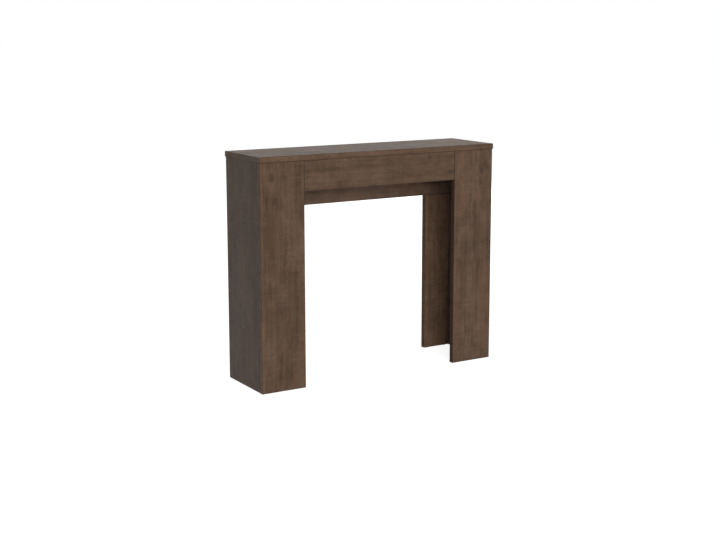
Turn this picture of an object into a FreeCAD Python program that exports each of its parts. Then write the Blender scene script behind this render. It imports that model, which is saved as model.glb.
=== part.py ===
# Extending console table: a fixed console and a rear leg frame on telescopic runners.
# Millimetres. X runs to the right, Y to the back and Z up; the origin is on the floor, in the middle.
import FreeCAD, Part
import math
import os
import Sketcher

STAGES = 7
SAME_POINT = 0.0001
DOC = FreeCAD.newDocument("extending_console_table")

# Driving sizes
SIZES = [
    ("top_width", 900, "table top, left to right"),
    ("top_depth", 245, "table top, front to back"),
    ("top_thickness", 18, "table top board"),
    ("overall_height", 757, "floor to table surface"),
    ("board_thickness", 18, "every other board"),
    ("side_overhang", 2.4, "top beyond the side panels"),
    ("end_overhang", 2, "top beyond the front and back faces"),
    ("edge_chamfer", 0.8, "broken edges of the boards"),
    ("stile_width", 158, "front stiles"),
    ("apron_height", 98, "front apron"),
    ("rear_stile_width", 106, "stiles of the moving rear frame"),
    ("rear_rail_height", 131, "rail of the moving rear frame"),
    ("rail_gap", 3.5, "rear rail below the runners"),
    ("frame_side_gap", 3, "rear frame beside each side panel"),
    ("frame_top_gap", 3, "rear stiles below the table top"),
    ("runner_height", 40, "runner members"),
    ("runner_drop", 0.5, "runner members below the table top"),
    ("runner_end_gap", 1.5, "runner ends from what lies before and behind them"),
    ("runner_gap", 1, "between neighbouring runner members"),
    ("runner_chamfer", 0.8, "outer corners of the channel"),
    ("lip_thickness", 1.6, "lips that close the channel"),
    ("web_thickness", 2.4, "web of the channel"),
    ("wall_thickness", 2, "top and bottom wall of the channel"),
    ("neck_height", 12, "neck of the T rail"),
    ("neck_clearance", 1.5, "neck of the T rail from each lip"),
    ("head_thickness", 3, "head of the T rail"),
    ("shoe_front", 1.2, "nylon between lips and T head"),
    ("shoe_back", 2.2, "nylon between T head and web"),
    ("shoe_cover", 1.7, "nylon above and below the T head"),
    ("shoe_length", 37.25, "nylon shoe on the T rail"),
    ("guide_length", 37.25, "nylon guide in the channel"),
    ("slide_clearance", 0.3, "nylon against aluminium that slides"),
    ("flange_height", 16, "screw flange below the wall rail"),
    ("frame_bracket_thickness", 2.5, "steel of the frame bracket"),
    ("frame_bracket_length", 55, "frame bracket along the end rail"),
    ("frame_bracket_flange", 34, "frame bracket along the rear rail"),
    ("frame_bracket_drop", 48, "frame bracket below the runners"),
    ("frame_bracket_inset", 4, "frame bracket below the end rail's upper edge"),
    ("top_bracket_leg", 32, "legs of the angle bracket under the top"),
    ("top_bracket_width", 26, "angle bracket, left to right"),
    ("top_bracket_thickness", 2.5, "steel of the angle bracket"),
    ("top_bracket_inset", 100, "outer angle brackets from the ends of the apron"),
    ("bend_radius", 1.5, "inside of the bend in an angle bracket"),
    ("plate_length", 64, "joining plate across apron and stile"),
    ("plate_height", 44, "joining plate"),
    ("plate_thickness", 2, "joining plate"),
    ("fit_clearance", 0.1, "hole around a dowel, bolt or cam"),
    ("hole_slack", 0.5, "hole past the end of what is in it"),
    ("dowel_radius", 4, "wooden dowel"),
    ("dowel_face_depth", 12, "dowel in the board whose face or edge it enters"),
    ("dowel_end_depth", 18, "dowel in the board that butts against it"),
    ("apron_dowel_inset", 22, "apron dowels from its long edges"),
    ("top_dowel_inset", 45, "dowels under the top from the panel's ends"),
    ("cam_radius", 7.5, "cam disc"),
    ("cam_depth", 12.5, "cam disc"),
    ("cam_setback", 34, "cam disc from the panel's front edge"),
    ("cam_margin", 80, "cams from the floor and from the height of the rear rail"),
    ("cam_slot_width", 1.8, "driver slot in the cam"),
    ("cam_slot_depth", 2, "driver slot in the cam"),
    ("bolt_radius", 3, "cam bolt"),
    ("bolt_face_depth", 11, "cam bolt in the stile"),
    ("glide_radius", 8, "floor glide where it meets the stile"),
    ("glide_foot_radius", 7, "floor glide where it meets the floor"),
    ("glide_height", 1.5, "floor glide below the rear stile"),
    ("glide_inset", 16, "floor glide from the edges of the rear stile"),
]

# Places that follow from the driving sizes
PLACES = [
    ("half_body", "Sizes.top_width / 2 - Sizes.side_overhang"),
    ("half_inner", "half_body - Sizes.board_thickness"),
    ("stile_edge", "half_body - Sizes.stile_width"),
    ("half_frame", "half_inner - Sizes.frame_side_gap"),
    ("rear_stile_edge", "half_frame - Sizes.rear_stile_width"),
    ("front", "Sizes.end_overhang - Sizes.top_depth / 2"),
    ("front_inner", "front + Sizes.board_thickness"),
    ("back", "Sizes.top_depth / 2 - Sizes.end_overhang"),
    ("back_inner", "back - Sizes.board_thickness"),
    ("rail_front", "back_inner - Sizes.board_thickness"),
    ("front_middle", "front + Sizes.board_thickness / 2"),
    ("side_middle", "half_body - Sizes.board_thickness / 2"),
    ("rear_middle", "back - Sizes.board_thickness / 2"),
    ("under_top", "Sizes.overall_height - Sizes.top_thickness"),
    ("apron_bottom", "under_top - Sizes.apron_height"),
    ("apron_middle", "under_top - Sizes.apron_height / 2"),
    ("runner_bottom", "under_top - Sizes.runner_drop - Sizes.runner_height"),
    ("rail_top", "runner_bottom - Sizes.rail_gap"),
    ("rail_bottom", "rail_top - Sizes.rear_rail_height"),
    ("runner_front", "front_inner + Sizes.plate_thickness + Sizes.runner_end_gap"),
    ("runner_back", "back_inner - Sizes.runner_end_gap"),
    ("runner_length", "runner_back - runner_front"),
    ("runner_middle", "(runner_front + runner_back) / 2"),
    ("shoe_near", "Sizes.lip_thickness + Sizes.slide_clearance"),
    ("head_near", "shoe_near + Sizes.shoe_front"),
    ("head_far", "head_near + Sizes.head_thickness"),
    ("shoe_far", "head_far + Sizes.shoe_back"),
    ("cavity_end", "shoe_far + Sizes.slide_clearance"),
    ("member_width", "cavity_end + Sizes.web_thickness"),
    ("pitch", "member_width + Sizes.runner_gap"),
    ("first_member", "Sizes.web_thickness + Sizes.runner_gap"),
    ("set_end", "first_member + %d * pitch + member_width" % STAGES),
    ("ceiling", "Sizes.runner_height - Sizes.wall_thickness"),
    ("shoe_low", "Sizes.wall_thickness + Sizes.slide_clearance"),
    ("shoe_high", "Sizes.runner_height - shoe_low"),
    ("head_low", "shoe_low + Sizes.shoe_cover"),
    ("head_high", "Sizes.runner_height - head_low"),
    ("neck_low", "(Sizes.runner_height - Sizes.neck_height) / 2"),
    ("neck_high", "(Sizes.runner_height + Sizes.neck_height) / 2"),
    ("slot_low", "neck_low - Sizes.neck_clearance"),
    ("slot_high", "neck_high + Sizes.neck_clearance"),
]

SHEET = DOC.addObject("Spreadsheet::Sheet", "Sizes")
for row, (alias, value, note) in enumerate(SIZES, start=1):
    SHEET.set("A%d" % row, note)
    SHEET.set("B%d" % row, str(value))
    SHEET.setAlias("B%d" % row, alias)
FOLLOWING = DOC.addObject("Spreadsheet::Sheet", "Places")
for row, (alias, formula) in enumerate(PLACES, start=1):
    FOLLOWING.set("B%d" % row, "=" + formula)
    FOLLOWING.setAlias("B%d" % row, alias)
DOC.recompute()

X_AXIS = FreeCAD.Vector(1, 0, 0)
Y_AXIS = FreeCAD.Vector(0, 1, 0)
Z_AXIS = FreeCAD.Vector(0, 0, 1)

# Turns that bring the Z axis of a pin or a drill into the direction it goes
TURNS = {
    "right": FreeCAD.Rotation(Y_AXIS, 90),
    "left": FreeCAD.Rotation(Y_AXIS, -90),
    "back": FreeCAD.Rotation(X_AXIS, -90),
    "front": FreeCAD.Rotation(X_AXIS, 90),
    "up": FreeCAD.Rotation(),
    "down": FreeCAD.Rotation(X_AXIS, 180),
}

# The two sides: name and way out, sign of X, way to the middle, and turn of a mirrored runner member
SIDES = [
    ("left", "-1", "right", FreeCAD.Rotation()),
    ("right", "1", "left", FreeCAD.Rotation(Z_AXIS, 180)),
]
NODES = []


def place(thing, point):
    """Bind a position to three expressions."""
    for axis, expression in zip("xyz", point):
        thing.setExpression("Placement.Base." + axis, expression)


def new_body(label):
    """Start a body with a name of its own."""
    body = DOC.addObject("PartDesign::Body", label)
    body.Label = label
    return body


def keep(thing):
    """Count an object among the pieces of the table."""
    NODES.append(thing)
    return thing


def profile(body, role, points):
    """Closed outline on an origin plane, each corner bound to a pair of expressions."""
    sketch = body.newObject("Sketcher::SketchObject", body.Name + "_profile")
    plane = [feature for feature in body.Origin.OriginFeatures if feature.Role == role][0]
    sketch.AttachmentSupport = [(plane, "")]
    sketch.MapMode = "FlatFace"
    count = len(points)
    angles = [2 * math.pi * n / count for n in range(count)]
    ring = [FreeCAD.Vector(math.cos(angle), math.sin(angle), 0) for angle in angles]
    for n in range(count):
        sketch.addGeometry(Part.LineSegment(ring[n], ring[(n + 1) % count]))
    for n in range(count):
        sketch.addConstraint(Sketcher.Constraint("Coincident", n, 2, (n + 1) % count, 1))
    for n, (across, along) in enumerate(points):
        for kind, start, expression in (("DistanceX", ring[n].x, across), ("DistanceY", ring[n].y, along)):
            index = sketch.addConstraint(Sketcher.Constraint(kind, -1, 1, n, 1, start))
            sketch.setExpression("Constraints[%d]" % index, expression)
    return sketch


def rectangle(body, role, across, along):
    """Rectangular outline from the body's origin."""
    return profile(body, role, [("0", "0"), (across, "0"), (across, along), ("0", along)])


def pad(body, sketch, length, both_ways=False):
    """Extrude an outline, to one side of its plane or to both."""
    solid = body.newObject("PartDesign::Pad", body.Name + "_pad")
    solid.Profile = sketch
    solid.Midplane = both_ways
    solid.setExpression("Length", length)
    DOC.recompute()
    return solid


def turned(label, points):
    """A piece turned about Z from an outline of radius and height."""
    body = new_body(label)
    sketch = profile(body, "XZ_Plane", points)
    solid = body.newObject("PartDesign::Revolution", label + "_turn")
    solid.Profile = sketch
    solid.ReferenceAxis = (sketch, ["V_Axis"])
    solid.Angle = 360
    return body


def pin(label, radius, low, high):
    """A plain round piece along Z."""
    return turned(label, [("0", low), (radius, low), (radius, high), ("0", high)])


def drill(body, corner, direction, point, radius, depth):
    """Round hole from a point of the table, in a body whose own origin is at corner."""
    hole = body.newObject("PartDesign::SubtractiveCylinder", body.Name + "_hole")
    hole.Placement = FreeCAD.Placement(FreeCAD.Vector(), TURNS[direction])
    place(hole, ["%s - (%s)" % pair for pair in zip(point, corner)])
    hole.setExpression("Radius", radius)
    hole.setExpression("Height", depth)


def board(label, corner, size):
    """Board with broken edges, from its left front bottom corner."""
    body = new_body(label)
    width, depth, height = size
    block = pad(body, rectangle(body, "XY_Plane", width, depth), height)
    easing = body.newObject("PartDesign::Chamfer", label + "_edges")
    easing.Base = (block, ["Edge%d" % (n + 1) for n in range(len(block.Shape.Edges))])
    easing.setExpression("Size", "Sizes.edge_chamfer")
    place(body, corner)
    return keep(body)


def linked(master, label, turn, point):
    """One more of a master piece, turned and placed."""
    link = DOC.addObject("App::Link", label)
    link.LinkedObject = master
    link.LinkTransform = False
    link.Placement = FreeCAD.Placement(FreeCAD.Vector(), turn)
    place(link, point)
    return link


def group(label, links):
    """Small pieces that share one node."""
    compound = DOC.addObject("Part::Compound", label)
    compound.Label = label
    compound.Links = links
    return keep(compound)


def fittings(label, master, places):
    """Identical fittings, each at a point and in a direction."""
    links = []
    for number, (direction, point) in enumerate(places, start=1):
        links.append(linked(master, "%s_%d" % (label, number), TURNS[direction], point))
    return group(label, links)


# Fittings: the origin lies on the face they go into, and Z goes into the board that butts against it
DOWEL = pin("dowel", "Sizes.dowel_radius", "-Sizes.dowel_face_depth", "Sizes.dowel_end_depth")
CAM_BOLT = pin("cam_bolt", "Sizes.bolt_radius", "-Sizes.bolt_face_depth", "Sizes.cam_setback")
CAM = pin("cam", "Sizes.cam_radius", "0", "Sizes.cam_depth")
CAM_SLOT = CAM.newObject("PartDesign::SubtractiveBox", "cam_slot")
CAM_SLOT.setExpression("Length", "Sizes.cam_radius * 2")
CAM_SLOT.setExpression("Width", "Sizes.cam_slot_width")
CAM_SLOT.setExpression("Height", "Sizes.cam_slot_depth")
place(CAM_SLOT, ["-Sizes.cam_radius", "-Sizes.cam_slot_width / 2", "0"])
drill(CAM, ["0", "0", "0"], "back",
      ["0", "-Sizes.cam_radius - Sizes.hole_slack", "Sizes.board_thickness / 2"],
      "Sizes.bolt_radius + Sizes.fit_clearance", "Sizes.cam_radius + 2 * Sizes.hole_slack")
GLIDE = turned("glide", [
    ("0", "-Sizes.glide_height"),
    ("Sizes.glide_foot_radius", "-Sizes.glide_height"),
    ("Sizes.glide_radius", "0"),
    ("0", "0"),
])

# Where the fittings sit in the joints of the console
CAM_HEIGHTS = ["Sizes.cam_margin", "Places.rail_bottom - Sizes.cam_margin"]
PANEL_DOWEL_HEIGHT = "Places.rail_bottom / 2"
TOP_DOWEL_PLACES = ["Places.front_inner + Sizes.top_dowel_inset", "Places.back - Sizes.top_dowel_inset"]
APRON_DOWEL_HEIGHTS = [
    "Places.apron_bottom + Sizes.apron_dowel_inset",
    "Places.under_top - Sizes.apron_dowel_inset",
]
DOWEL_HOLE = "Sizes.dowel_radius + Sizes.fit_clearance"
DOWEL_FACE_HOLE = "Sizes.dowel_face_depth + Sizes.hole_slack"
DOWEL_END_HOLE = "Sizes.dowel_end_depth + Sizes.hole_slack"
BOLT_HOLE = "Sizes.bolt_radius + Sizes.fit_clearance"
BOLT_FACE_HOLE = "Sizes.bolt_face_depth + Sizes.hole_slack"
CAM_SEAT = "Sizes.cam_radius + Sizes.fit_clearance"
CAM_SEAT_DEPTH = "Sizes.cam_depth + Sizes.hole_slack"
dowel_places = []
cam_places = []
bolt_places = []

# Table top and front apron
TOP_CORNER = ["-Sizes.top_width / 2", "-Sizes.top_depth / 2", "Places.under_top"]
TOP = board("table_top", TOP_CORNER, ["Sizes.top_width", "Sizes.top_depth", "Sizes.top_thickness"])
APRON_CORNER = ["-Places.stile_edge", "Places.front", "Places.apron_bottom"]
APRON = board("front_apron", APRON_CORNER,
              ["2 * Places.stile_edge", "Sizes.board_thickness", "Sizes.apron_height"])

# Side panels and front stiles, with the dowels and cams that join them
for side, sign, inward, turn in SIDES:
    middle = sign + " * Places.side_middle"
    panel_corner = [middle + " - Sizes.board_thickness / 2", "Places.front_inner", "0"]
    panel = board(side + "_side_panel", panel_corner,
                  ["Sizes.board_thickness", "Places.back - Places.front_inner", "Places.under_top"])
    stile_corner = [
        sign + " * (Places.half_body + Places.stile_edge) / 2 - Sizes.stile_width / 2",
        "Places.front",
        "0",
    ]
    stile = board(side + "_front_stile", stile_corner,
                  ["Sizes.stile_width", "Sizes.board_thickness", "Places.under_top"])
    for height in CAM_HEIGHTS:
        joint = [middle, "Places.front_inner", height]
        seat = [sign + " * Places.half_inner", "Places.front_inner + Sizes.cam_setback", height]
        drill(panel, panel_corner, "back", joint, BOLT_HOLE, "Sizes.cam_setback")
        drill(panel, panel_corner, side, seat, CAM_SEAT, CAM_SEAT_DEPTH)
        drill(stile, stile_corner, "front", joint, BOLT_HOLE, BOLT_FACE_HOLE)
        bolt_places.append(("back", joint))
        cam_places.append((side, seat))
    joint = [middle, "Places.front_inner", PANEL_DOWEL_HEIGHT]
    drill(panel, panel_corner, "back", joint, DOWEL_HOLE, DOWEL_END_HOLE)
    drill(stile, stile_corner, "front", joint, DOWEL_HOLE, DOWEL_FACE_HOLE)
    dowel_places.append(("back", joint))
    for along in TOP_DOWEL_PLACES:
        joint = [middle, along, "Places.under_top"]
        drill(panel, panel_corner, "down", joint, DOWEL_HOLE, DOWEL_END_HOLE)
        drill(TOP, TOP_CORNER, "up", joint, DOWEL_HOLE, DOWEL_FACE_HOLE)
        dowel_places.append(("down", joint))
    for height in APRON_DOWEL_HEIGHTS:
        joint = [sign + " * Places.stile_edge", "Places.front_middle", height]
        drill(APRON, APRON_CORNER, inward, joint, DOWEL_HOLE, DOWEL_END_HOLE)
        drill(stile, stile_corner, side, joint, DOWEL_HOLE, DOWEL_FACE_HOLE)
        dowel_places.append((inward, joint))
fittings("panel_dowels", DOWEL, dowel_places)
fittings("cam_discs", CAM, cam_places)
fittings("cam_bolts", CAM_BOLT, bolt_places)

# Joining plates behind the joints of apron and stiles
for side, sign, inward, turn in SIDES:
    plate = new_body(side + "_joining_plate")
    outline = rectangle(plate, "XY_Plane", "Sizes.plate_length", "Sizes.plate_thickness")
    pad(plate, outline, "Sizes.plate_height")
    place(plate, [
        sign + " * Places.stile_edge - Sizes.plate_length / 2",
        "Places.front_inner",
        "Places.apron_middle - Sizes.plate_height / 2",
    ])
    keep(plate)

# Angle brackets between apron and table top
OUTER_BRACKET = "(Places.stile_edge - Sizes.top_bracket_inset)"
for name, across in (("left", "-" + OUTER_BRACKET), ("middle", "0"), ("right", OUTER_BRACKET)):
    bracket = new_body(name + "_top_bracket")
    angle = pad(bracket, profile(bracket, "YZ_Plane", [
        ("0", "0"),
        ("Sizes.top_bracket_leg", "0"),
        ("Sizes.top_bracket_leg", "-Sizes.top_bracket_thickness"),
        ("Sizes.top_bracket_thickness", "-Sizes.top_bracket_thickness"),
        ("Sizes.top_bracket_thickness", "-Sizes.top_bracket_leg"),
        ("0", "-Sizes.top_bracket_leg"),
    ]), "Sizes.top_bracket_width", True)
    thickness = SHEET.get("top_bracket_thickness")
    inner_corner = FreeCAD.Vector(0, thickness, -thickness)
    inner_edge = ["Edge%d" % (n + 1) for n, edge in enumerate(angle.Shape.Edges)
                  if edge.CenterOfMass.isEqual(inner_corner, SAME_POINT)]
    bend = bracket.newObject("PartDesign::Fillet", bracket.Name + "_bend")
    bend.Base = (angle, inner_edge)
    bend.setExpression("Radius", "Sizes.bend_radius")
    place(bracket, [across, "Places.front_inner", "Places.under_top"])
    keep(bracket)

# Cross sections of the runner: across from the side panel to the middle, and up from the lower edge
CHANNEL_LOW = [
    ("Places.member_width - Sizes.runner_chamfer", "0"),
    ("Places.member_width", "Sizes.runner_chamfer"),
]
CHANNEL_HIGH = [
    ("Places.member_width", "Sizes.runner_height - Sizes.runner_chamfer"),
    ("Places.member_width - Sizes.runner_chamfer", "Sizes.runner_height"),
]
CHANNEL_MOUTH = [
    ("Sizes.runner_chamfer", "Sizes.runner_height"),
    ("0", "Sizes.runner_height - Sizes.runner_chamfer"),
    ("0", "Places.slot_high"),
    ("Sizes.lip_thickness", "Places.slot_high"),
    ("Sizes.lip_thickness", "Places.ceiling"),
    ("Places.cavity_end", "Places.ceiling"),
    ("Places.cavity_end", "Sizes.wall_thickness"),
    ("Sizes.lip_thickness", "Sizes.wall_thickness"),
    ("Sizes.lip_thickness", "Places.slot_low"),
    ("0", "Places.slot_low"),
    ("0", "Sizes.runner_chamfer"),
    ("Sizes.runner_chamfer", "0"),
]


def t_rail(face):
    """T rail that stands on a face at the given distance and reaches into the next channel."""
    near = face + " + Sizes.runner_gap + Places.head_near"
    far = face + " + Sizes.runner_gap + Places.head_far"
    return [
        (face, "Places.neck_low"),
        (near, "Places.neck_low"),
        (near, "Places.head_low"),
        (far, "Places.head_low"),
        (far, "Places.head_high"),
        (near, "Places.head_high"),
        (near, "Places.neck_high"),
        (face, "Places.neck_high"),
    ]


def nylon(near, far, low, high, gap):
    """Nylon block with a slot for the T rail; gap is the clearance inside the slot."""
    head_near = "Places.head_near - " + gap
    head_far = "Places.head_far + " + gap
    return [
        (near, low),
        (far, low),
        (far, high),
        (near, high),
        (near, "Places.neck_high + " + gap),
        (head_near, "Places.neck_high + " + gap),
        (head_near, "Places.head_high + " + gap),
        (head_far, "Places.head_high + " + gap),
        (head_far, "Places.head_low - " + gap),
        (head_near, "Places.head_low - " + gap),
        (head_near, "Places.neck_low - " + gap),
        (near, "Places.neck_low - " + gap),
    ]


WALL_RAIL = (
    [("0", "-Sizes.flange_height"), ("Sizes.web_thickness", "-Sizes.flange_height")]
    + t_rail("Sizes.web_thickness")
    + [("Sizes.web_thickness", "Sizes.runner_height"), ("0", "Sizes.runner_height")]
)
STAGE_RAIL = CHANNEL_LOW + t_rail("Places.member_width") + CHANNEL_HIGH + CHANNEL_MOUTH
END_RAIL = CHANNEL_LOW + CHANNEL_HIGH + CHANNEL_MOUTH
SHOE = nylon("Places.shoe_near", "Places.shoe_far", "Places.shoe_low", "Places.shoe_high", "0")
GUIDE = nylon("Sizes.lip_thickness", "Places.cavity_end", "Sizes.wall_thickness", "Places.ceiling",
              "Sizes.slide_clearance")


def extrusion(label, outline, length):
    """Straight length of a cross section, even about the middle of its length."""
    body = new_body(label)
    pad(body, profile(body, "XZ_Plane", outline), length, True)
    return body


def runner_point(sign, distance, along):
    """Place in a runner set at a distance from the side panel's inner face."""
    return [sign + " * (Places.half_inner - (" + distance + "))", along, "Places.runner_bottom"]


def runner_pair(outline, distance, label):
    """The left and the right member of one step of the runners."""
    for side, sign, inward, turn in SIDES:
        member = extrusion(side + "_" + label, outline, "Places.runner_length")
        member.Placement = FreeCAD.Placement(FreeCAD.Vector(), turn)
        place(member, runner_point(sign, distance, "Places.runner_middle"))
        keep(member)


def nylon_pair(master, distance, along, label):
    """The same nylon block in the left and the right runner."""
    return [linked(master, label + "_" + side, turn, runner_point(sign, distance, along))
            for side, sign, inward, turn in SIDES]


def member_place(number):
    """Distance of a numbered member from the side panel."""
    return "Places.first_member + %d * Places.pitch" % (number - 1)


# Telescopic runners: wall rails, moving stages and end rails
SHOE_BLOCK = extrusion("shoe", SHOE, "Sizes.shoe_length")
GUIDE_BLOCK = extrusion("guide", GUIDE, "Sizes.guide_length")
SHOE_PLACE = "Places.runner_back - Sizes.shoe_length / 2"
GUIDE_PLACE = "Places.runner_front + Sizes.guide_length / 2"
runner_pair(WALL_RAIL, "0", "wall_rail")
group("wall_rail_shoes", nylon_pair(SHOE_BLOCK, member_place(1), SHOE_PLACE, "wall_shoe"))
for number in range(1, STAGES + 1):
    runner_pair(STAGE_RAIL, member_place(number), "stage_%d_rail" % number)
    guides = nylon_pair(GUIDE_BLOCK, member_place(number), GUIDE_PLACE, "guide_%d" % number)
    shoes = nylon_pair(SHOE_BLOCK, member_place(number + 1), SHOE_PLACE, "shoe_%d" % number)
    group("stage_%d_nylon" % number, guides + shoes)
runner_pair(END_RAIL, member_place(STAGES + 1), "end_rail")
group("end_rail_guides", nylon_pair(GUIDE_BLOCK, member_place(STAGES + 1), GUIDE_PLACE, "end_guide"))

# Rear frame: rail, stiles on glides, and the brackets that tie the end rails to the rail
board("rear_rail", ["-Places.half_frame", "Places.rail_front", "Places.rail_bottom"],
      ["2 * Places.half_frame", "Sizes.board_thickness", "Sizes.rear_rail_height"])
glide_places = []
for side, sign, inward, turn in SIDES:
    board(side + "_rear_stile", [
        sign + " * (Places.half_frame + Places.rear_stile_edge) / 2 - Sizes.rear_stile_width / 2",
        "Places.back_inner",
        "Sizes.glide_height",
    ], [
        "Sizes.rear_stile_width",
        "Sizes.board_thickness",
        "Places.under_top - Sizes.frame_top_gap - Sizes.glide_height",
    ])
    for across in ("Places.half_frame - Sizes.glide_inset", "Places.rear_stile_edge + Sizes.glide_inset"):
        under = [sign + " * (" + across + ")", "Places.rear_middle", "Sizes.glide_height"]
        glide_places.append(("up", under))
    bracket = new_body(side + "_frame_bracket")
    towards = "-1 * " + sign + " * "
    web = rectangle(bracket, "XY_Plane", towards + "Sizes.frame_bracket_thickness",
                    "-Sizes.frame_bracket_length")
    pad(bracket, web, "Sizes.frame_bracket_drop + Sizes.runner_height - Sizes.frame_bracket_inset")
    flange = rectangle(bracket, "XY_Plane", towards + "Sizes.frame_bracket_flange",
                       "-Sizes.frame_bracket_thickness")
    pad(bracket, flange, "Sizes.frame_bracket_drop - Sizes.rail_gap - Sizes.edge_chamfer")
    place(bracket, [
        sign + " * (Places.half_inner - Places.set_end)",
        "Places.rail_front",
        "Places.runner_bottom - Sizes.frame_bracket_drop",
    ])
    keep(bracket)
fittings("floor_glides", GLIDE, glide_places)

# Check every object, then write one file for each piece
DOC.recompute()
for thing in DOC.Objects:
    if "Invalid" in thing.State or "Error" in thing.State:
        raise RuntimeError("object is not up to date: %s %s" % (thing.Name, thing.State))
os.makedirs("parts", exist_ok=True)
for node in NODES:
    if node.Shape.isNull() or not node.Shape.isValid():
        raise RuntimeError("shape is not sound: " + node.Label)
    node.Shape.exportStep("parts/%s.step" % node.Label)
print("pieces written:", len(NODES))
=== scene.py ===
# %% [markdown]
# # Dressing an extending console table
# The table is a fixed console of dark walnut boards with a leg frame nested in its back. The frame
# slides out on telescopic runners. The solids come ready made from CAD, so this lesson adds what
# CAD leaves out: the wood figure, the metal and nylon finishes, the screws, the light and the camera.

import math

import bpy
from mathutils import Euler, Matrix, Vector


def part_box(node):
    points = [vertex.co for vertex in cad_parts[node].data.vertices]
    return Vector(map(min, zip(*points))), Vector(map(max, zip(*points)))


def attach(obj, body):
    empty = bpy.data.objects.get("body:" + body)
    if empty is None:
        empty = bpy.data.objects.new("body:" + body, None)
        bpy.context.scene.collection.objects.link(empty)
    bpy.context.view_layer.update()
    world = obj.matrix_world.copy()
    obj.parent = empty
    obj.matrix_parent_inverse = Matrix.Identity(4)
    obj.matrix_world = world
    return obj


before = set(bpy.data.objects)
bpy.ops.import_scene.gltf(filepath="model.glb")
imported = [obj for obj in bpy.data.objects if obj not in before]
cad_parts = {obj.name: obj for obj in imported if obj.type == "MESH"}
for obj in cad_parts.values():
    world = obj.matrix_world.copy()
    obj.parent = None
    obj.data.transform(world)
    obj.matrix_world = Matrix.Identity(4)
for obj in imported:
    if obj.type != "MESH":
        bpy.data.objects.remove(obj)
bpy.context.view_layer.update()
SCENE = bpy.context.scene
SCENE.view_settings.view_transform = "Standard"

# %% [markdown]
# ## Camera
# The photograph was taken from the front left and from above the table top. A camera that looks down by
# some ten degrees makes upright edges lean. A shop photographer keeps the camera level and shifts the
# lens instead, but a large shift would push the table out of the other views. So most of the way down
# is tilt, and a small shift takes up the rest.

# %% Set the camera
CAMERA_PLACE = (-2.2094, -3.6362, 1.1638)
CAMERA_YAW = 31.482
CAMERA_PITCH = 9.687
LENS_LENGTH = 64.17
SENSOR_WIDTH = 36.0
LENS_SHIFT = (-0.0132, -0.04)
TABLE_MIDDLE = (0, 0, 0.4)

camera_data = bpy.data.cameras.new("photo_camera")
camera_data.lens = LENS_LENGTH
camera_data.sensor_width = SENSOR_WIDTH
camera_data.shift_x, camera_data.shift_y = LENS_SHIFT
camera = bpy.data.objects.new("photo_camera", camera_data)
camera.location = CAMERA_PLACE
camera.rotation_euler = (math.radians(90 - CAMERA_PITCH), 0, math.radians(-CAMERA_YAW))
SCENE.collection.objects.link(camera)
SCENE.camera = camera
print("camera is", round((Vector(CAMERA_PLACE) - Vector(TABLE_MIDDLE)).length, 2), "m from the table")

# %% [markdown]
# ## Building node trees in code
# Every finish below is a node tree. Such trees are usually drawn by hand in the editor. In code they
# can be read from top to bottom and used again, so a few helpers keep that code short: one adds a node
# and links or sets its inputs, two do arithmetic, and one starts a group whose sockets have names.

# %% Helpers for nodes and groups
def add(tree, kind, settings=None, inputs=None):
    """Add a node; each input is a plain value, or an output of another node to link."""
    made = tree.nodes.new(kind)
    for name, value in (settings or {}).items():
        setattr(made, name, value)
    for name, value in (inputs or {}).items():
        if isinstance(value, bpy.types.NodeSocket):
            tree.links.new(value, made.inputs[name])
        else:
            made.inputs[name].default_value = value
    return made


def calc(tree, operation, *values):
    """Arithmetic on numbers and outputs."""
    made = add(tree, "ShaderNodeMath", {"operation": operation}, dict(enumerate(values)))
    return made.outputs[0]


def vector_calc(tree, operation, *values):
    """Arithmetic on vectors; a length or a dot product comes out as a number."""
    made = add(tree, "ShaderNodeVectorMath", {"operation": operation}, dict(enumerate(values)))
    return made.outputs["Value" if operation in ("LENGTH", "DOT_PRODUCT") else "Vector"]


def shader_group(name, inputs, outputs):
    """Start a shader group with named sockets."""
    tree = bpy.data.node_groups.new(name, "ShaderNodeTree")
    for label, kind, value in inputs:
        socket = tree.interface.new_socket(label, in_out="INPUT", socket_type="NodeSocket" + kind)
        socket.default_value = value
    for label, kind in outputs:
        tree.interface.new_socket(label, in_out="OUTPUT", socket_type="NodeSocket" + kind)
    return tree, tree.nodes.new("NodeGroupInput").outputs, tree.nodes.new("NodeGroupOutput").inputs


print("helpers:", ", ".join(helper.__name__ for helper in (add, calc, vector_calc, shader_group)))

# %% [markdown]
# ## Edges of a board
# Boards like these are faced with printed paper and closed with thin edge strips. The arris, where
# strip and paper meet, is a fine dark line that rubs pale with use. It could be painted by hand or found
# with a Bevel node, but the boards are plain boxes. On a box, the distance to the nearest arris is the
# middle one of the three distances to its faces, so a little arithmetic finds it.

# %% Group: distance to the arris of a board
END_FACE_DEPTH = 0.0004

edge_group, given, result = shader_group(
    "Board Arris",
    [("Position", "Vector", (0, 0, 0)), ("Low", "Vector", (0, 0, 0)), ("High", "Vector", (1, 1, 1)),
     ("Grain", "Vector", (1, 0, 0))],
    [("Distance", "Float"), ("End Face", "Float")])
above = vector_calc(edge_group, "SUBTRACT", given["Position"], given["Low"])
below = vector_calc(edge_group, "SUBTRACT", given["High"], given["Position"])
nearest = vector_calc(edge_group, "MINIMUM", above, below)
split = add(edge_group, "ShaderNodeSeparateXYZ", None, {0: nearest}).outputs
smaller = calc(edge_group, "MINIMUM", split[0], split[1])
larger = calc(edge_group, "MAXIMUM", split[0], split[1])
middle = calc(edge_group, "MAXIMUM", smaller, calc(edge_group, "MINIMUM", larger, split[2]))
edge_group.links.new(middle, result["Distance"])
along = vector_calc(edge_group, "DOT_PRODUCT", nearest, given["Grain"])
edge_group.links.new(calc(edge_group, "LESS_THAN", along, END_FACE_DEPTH), result["End Face"])
print("group:", edge_group.name, "nodes:", len(edge_group.nodes))

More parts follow.
